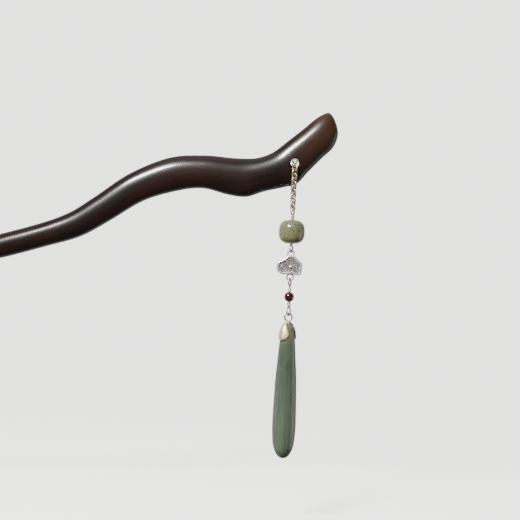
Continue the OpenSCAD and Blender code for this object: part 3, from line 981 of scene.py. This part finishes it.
def cloud_surface(thickness):
    """The cloud as one closed skin: rows run from the middle of the front out to the
    outline, round the edge and back to the middle of the back; columns follow the outline.
    The front is raised by the relief, and the back by the same relief, smoothed."""
    columns, rows = 288, 62
    outline = closed_spline(CLOUD, np.linspace(0, len(CLOUD), columns, endpoint=False))
    centre = np.array([-0.1, 0.1])
    out = outline - centre
    edge_step = unit(np.roll(outline, -1, 0) - np.roll(outline, 1, 0))
    square = np.abs(out[:, 0] * edge_step[:, 1] - out[:, 1] * edge_step[:, 0])
    share = (np.arange(1, rows + 1) / rows) ** 0.85
    flat = centre + share[:, None, None] * out
    inward = (1 - share)[:, None] * square
    height, oxide_and_shade = cloud_relief(flat[..., 0], flat[..., 1], inward)
    front = np.stack([flat[..., 0], -(thickness / 2 + height), flat[..., 1]], -1)
    back = np.stack([flat[..., 0], thickness / 2 + height, flat[..., 1]], -1)
    grid = np.concatenate([front, back[::-1]])
    shade = np.concatenate([oxide_and_shade, oxide_and_shade[::-1]])
    move = np.array([0, 0, CLOUD_Z])
    pole_y = front[0, :, 1].mean()
    poles = [below_hole([centre[0], pole_y, centre[1] + CLOUD_Z]),
             below_hole([centre[0], -pole_y, centre[1] + CLOUD_Z])]
    return shell(below_hole(grid + move), poles=poles, oxide_and_shade=shade)


class MESH_OT_cloud(bpy.types.Operator):
    """Cast the cloud-shaped connector with its relief and two rings"""
    bl_idname = "mesh.hairstick_cloud"
    bl_label = "Cloud Connector"

    def execute(self, context):
        tassel = context.scene.hairstick_tassel
        shells = [cloud_surface(tassel.cloud_t)]
        for height in CLOUD_RINGS:
            shells.append(ring(below_hole([0, 0, height]), ACROSS, UP, CLOUD_RING_R,
                               CLOUD_RING_WIRE, 0.0, 20, 72))
        metal = cast_silver(context.scene.hairstick_finish)
        place(build("cloud_casting", shells), "cloud_connector", metal)
        return {"FINISHED"}


# ---------------------------------------------------------------- the bail

class MESH_OT_bail_ring(bpy.types.Operator):
    """Make the closed ring on top of the bail"""
    bl_idname = "mesh.hairstick_bail_ring"
    bl_label = "Bail Ring"

    def execute(self, context):
        finish = context.scene.hairstick_finish
        low, high = cad_box("bail_ring")
        wire = high[1] - low[1]
        radius = (high[0] - low[0] - wire) / 2
        loop = ring((low + high) / 2, ACROSS, UP, radius, wire, 0.08, 20, 80)
        # The ring's inner side is darkened: tarnished metal and painted shade.
        metal = silver("pale_ring_silver", finish.cast, finish.tarnish_and_shade, 0.28, 0.6)
        place(build("soldered_ring", [loop]), "bail_ring", metal)
        return {"FINISHED"}


def bail_surface(sheet, turn):
    """One strip of sheet bent over the drop's top and down both sides. Along it runs the
    dome's section, from the tip of one leaf over the top to the tip of the other; across
    it the leaf's half width, curved to the dome and thinned to a round edge. The outer
    face is domed like a pillow, and the inner face is half as full."""
    at = np.arange(0, len(DOME) - 1 + 1e-6, 0.125)
    half = spline(DOME, at)
    line = np.vstack([half[::-1], half[1:] * [1, -1]])
    height, reach = line[:, 0], line[:, 1]
    rows = spline(LEAF, np.arange(0, len(LEAF) - 1 + 1e-6, 0.1))[::-1]
    width = np.interp(height, rows[:, 0], np.maximum(rows[:, 1], 0.02))
    step = unit(np.gradient(np.stack([reach, height], -1), axis=0))
    normal = np.stack([-step[:, 1], step[:, 0]], -1)
    middle = len(line) // 2
    if normal[middle, 1] < 0:
        normal = -normal
    turns = np.linspace(0, 2 * np.pi, 48, endpoint=False)
    across = np.cos(turns)
    thick = np.sin(turns)
    lateral = width[:, None] * across
    outer, inner, pillow, least_curve = 0.62, 0.38, 0.16, 2.15
    bulge = np.where(thick > 0, outer, inner) * sheet * np.sign(thick) * np.abs(thick) ** 0.7
    bulge = bulge * np.minimum(1, width / 0.35)[:, None]
    bulge = bulge + pillow * (1 - across ** 2) * smoothstep(width, 0.7, 1.7)[:, None] * (thick > 0)
    curve = np.maximum(np.abs(reach), least_curve)[:, None]
    drop = curve - np.sqrt(np.clip(curve ** 2 - lateral ** 2, 0.01, None))
    off = bulge - drop
    x = reach[:, None] + normal[:, :1] * off
    z = height[:, None] + normal[:, 1:] * off
    c, s = math.cos(turn), math.sin(turn)
    grid = np.stack([c * x - s * lateral, s * x + c * lateral, z], -1)
    poles = [below_hole(grid[0].mean(0)), below_hole(grid[-1].mean(0))]
    return shell(below_hole(grid), poles=poles)


class MESH_OT_pinch_bail(bpy.types.Operator):
    """Bend the bail's two leaves over the drop, with a prong inside each"""
    bl_idname = "mesh.hairstick_pinch_bail"
    bl_label = "Pinch Bail"

    def execute(self, context):
        tassel, finish = context.scene.hairstick_tassel, context.scene.hairstick_finish
        turn = tassel.bail_turn
        across = np.array([math.cos(turn), math.sin(turn), 0])
        shells = [bail_surface(tassel.sheet, turn)]
        for side in (-1, 1):
            run = side * np.linspace(0.7, 2.35, 6)[:, None] * across + PRONG_Z * UP
            shells.append(tube(below_hole(run), UP, PRONG_R, sides=20))
        metal = silver("cream_bail_silver", finish.bail, finish.tarnish_and_shade, 0.47, 0.3)
        place(build("bail_leaves", shells), "pinch_bail", metal)
        return {"FINISHED"}


# ---------------------------------------------------------------- the stage

def softbox(name, centre, toward, size, power, colour):
    """An area light at the centre plus an offset, facing the centre."""
    light = bpy.data.lights.new(name, "AREA")
    light.shape = "ELLIPSE"
    light.size, light.size_y = size
    light.energy = power
    light.color = colour
    made = linked(name, light)
    back = unit(np.array(toward, float))
    right = unit(np.cross(UP, back))
    stand(made, right, np.cross(back, right), back, np.array(centre) + toward)
    made.visible_camera = False


def stand(made, right, above, back, place_at):
    """Sets a light or camera at a place, with its three axes along the vectors."""
    axes = np.eye(4)
    axes[:3] = np.stack([right, above, back, place_at], -1)
    made.matrix_world = Matrix(axes.tolist())


def studio_world(paper):
    """A pale room to the camera, and a dimmer one to the object, as black flags give, with
    most of its light left behind the object."""
    world = bpy.data.worlds.new("studio")
    bpy.context.scene.world = world
    world.use_nodes = True
    tree = world.node_tree
    tree.nodes.clear()
    seen = add(tree, "ShaderNodeBackground", {"Color": (*paper, 1), "Strength": 3.6})
    toward = add(tree, "ShaderNodeTexCoord").outputs["Generated"]
    behind = add(tree, "ShaderNodeSeparateXYZ", Vector=toward).outputs["Y"]
    glow = mapped(tree, behind, 0.1, 1.0, 0.14, 1.15)
    felt = add(tree, "ShaderNodeBackground", {"Color": (*paper, 1)}, Strength=glow)
    path = add(tree, "ShaderNodeLightPath")
    mixed = tree.nodes.new("ShaderNodeMixShader")
    tree.links.new(path.outputs["Is Camera Ray"], mixed.inputs[0])
    tree.links.new(felt.outputs[0], mixed.inputs[1])
    tree.links.new(seen.outputs[0], mixed.inputs[2])
    out = tree.nodes.new("ShaderNodeOutputWorld")
    tree.links.new(mixed.outputs[0], out.inputs["Surface"])


def paper_floor(paper, height, centre):
    """A wide round sheet of paper whose edge fades into the pale room."""
    turn = np.linspace(0, 2 * np.pi, 96, endpoint=False)
    radius = np.linspace(0.05, 1.6, 24)[:, None]
    grid = np.stack([centre[0] + radius * np.cos(turn), centre[1] + radius * np.sin(turn),
                     height + 0 * radius * turn], -1)
    number = numbered(*grid.shape[:2])
    quads = np.stack([number[:-1, :-1], number[1:, :-1], number[1:, 1:], number[:-1, 1:]], -1)
    faces = quads.reshape(-1, 4).tolist() + [number[0, :-1].tolist()]
    mesh = bpy.data.meshes.new("paper_floor")
    mesh.from_pydata(grid.reshape(-1, 3).tolist(), [], faces)
    floor = linked("paper_floor", mesh)
    material, tree, shader = fresh("plain_paper")
    away = add(tree, "ShaderNodeVectorMath", {"operation": "DISTANCE"})
    fill(tree, away.inputs[0], object_place(tree))
    fill(tree, away.inputs[1], (centre[0], centre[1], height))
    fill_all(tree, shader, {
        "Base Color": (*paper, 1), "Emission Color": (*paper, 1), "Emission Strength": 2.9,
        "Roughness": 0.9, "Alpha": mapped(tree, away.outputs["Value"], 0.15, 0.85, 1.0, 0.0)})
    mesh.materials.append(material)
    floor.visible_diffuse = False
    floor.visible_glossy = False
    floor.visible_transmission = False
    floor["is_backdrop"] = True


class SCENE_OT_stage(bpy.types.Operator):
    """Set up the paper floor, the soft lights and the camera"""
    bl_idname = "scene.hairstick_stage"
    bl_label = "Stage"

    def execute(self, context):
        scene = context.scene
        stage = scene.hairstick_stage
        head = HOLE * MM
        paper_floor(stage.paper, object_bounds()[0][2] - stage.floor_drop, head)
        studio_world(stage.paper)
        side = stage.side_power
        for name, offset, size, power, colour in (
                ("key_box", (-0.155, -0.27, 0.19), (0.12, 0.07), stage.key_power, (1, 0.98, 0.96)),
                ("right_box", (0.38, 0.02, -0.12), (0.24, 0.36), side, (1, 0.88, 0.74)),
                ("left_box", (-0.34, 0.06, -0.10), (0.20, 0.36), side / 4, (0.95, 0.97, 1)),
                ("top_box", (0.0, -0.02, 0.60), (0.8, 0.5), stage.top_power, (0.96, 0.97, 1))):
            softbox(name, head, offset, size, power, colour)
        lens = bpy.data.cameras.new("camera")
        lens.lens, lens.sensor_width = stage.lens, SENSOR
        lens.clip_start, lens.clip_end = 0.01, 20.0
        camera = linked("camera", lens)
        c, s = math.cos(stage.roll), math.sin(stage.roll)
        across, above = np.array([c, 0, s]), np.array([-s, 0, c])
        aim = head + (AIM[0] * across) + (AIM[1] * above)
        away = np.array([0, -stage.span * stage.lens / SENSOR, 0])
        stand(camera, across, above, (0, -1, 0), aim + away)
        scene.camera = camera
        return {"FINISHED"}


class VIEW3D_PT_hairstick(bpy.types.Panel):
    """Sizes, finishes and the makers of every piece"""
    bl_label = "Hair Stick"
    bl_idname = "VIEW3D_PT_hairstick"
    bl_space_type = "VIEW_3D"
    bl_region_type = "UI"
    bl_category = "Hair Stick"

    def draw(self, context):
        for group in GROUPS:
            settings = getattr(context.scene, group)
            box = self.layout.box()
            for key in settings.bl_rna.properties.keys():
                if key not in ("rna_type", "name"):
                    box.prop(settings, key)
        for maker in MAKERS:
            self.layout.operator(maker.bl_idname)


MAKERS = (MESH_OT_stick, MESH_OT_chain, MESH_OT_bead_pin, MESH_OT_jade_bead, MESH_OT_cloud,
          MESH_OT_garnet_pin, MESH_OT_garnet, MESH_OT_bail_ring, MESH_OT_pinch_bail,
          MESH_OT_drop, SCENE_OT_stage)
GROUPS = {"hairstick_stick": StickSettings, "hairstick_tassel": TasselSettings,
          "hairstick_finish": FinishSettings, "hairstick_stage": StageSettings}


def register():
    for group, settings in GROUPS.items():
        bpy.utils.register_class(settings)
        setattr(bpy.types.Scene, group, PointerProperty(type=settings))
    for maker in MAKERS:
        bpy.utils.register_class(maker)
    bpy.utils.register_class(VIEW3D_PT_hairstick)


def unregister():
    bpy.utils.unregister_class(VIEW3D_PT_hairstick)
    for maker in reversed(MAKERS):
        bpy.utils.unregister_class(maker)
    for group, settings in GROUPS.items():
        delattr(bpy.types.Scene, group)
        bpy.utils.unregister_class(settings)


def main():
    register()
    bpy.ops.mesh.hairstick_stick()
    bpy.ops.mesh.hairstick_chain()
    bpy.ops.mesh.hairstick_bead_pin()
    bpy.ops.mesh.hairstick_jade_bead()
    bpy.ops.mesh.hairstick_cloud()
    bpy.ops.mesh.hairstick_garnet_pin()
    bpy.ops.mesh.hairstick_garnet()
    bpy.ops.mesh.hairstick_bail_ring()
    bpy.ops.mesh.hairstick_pinch_bail()
    bpy.ops.mesh.hairstick_drop()
    bpy.ops.scene.hairstick_stage()


if __name__ == "__main__":
    main()
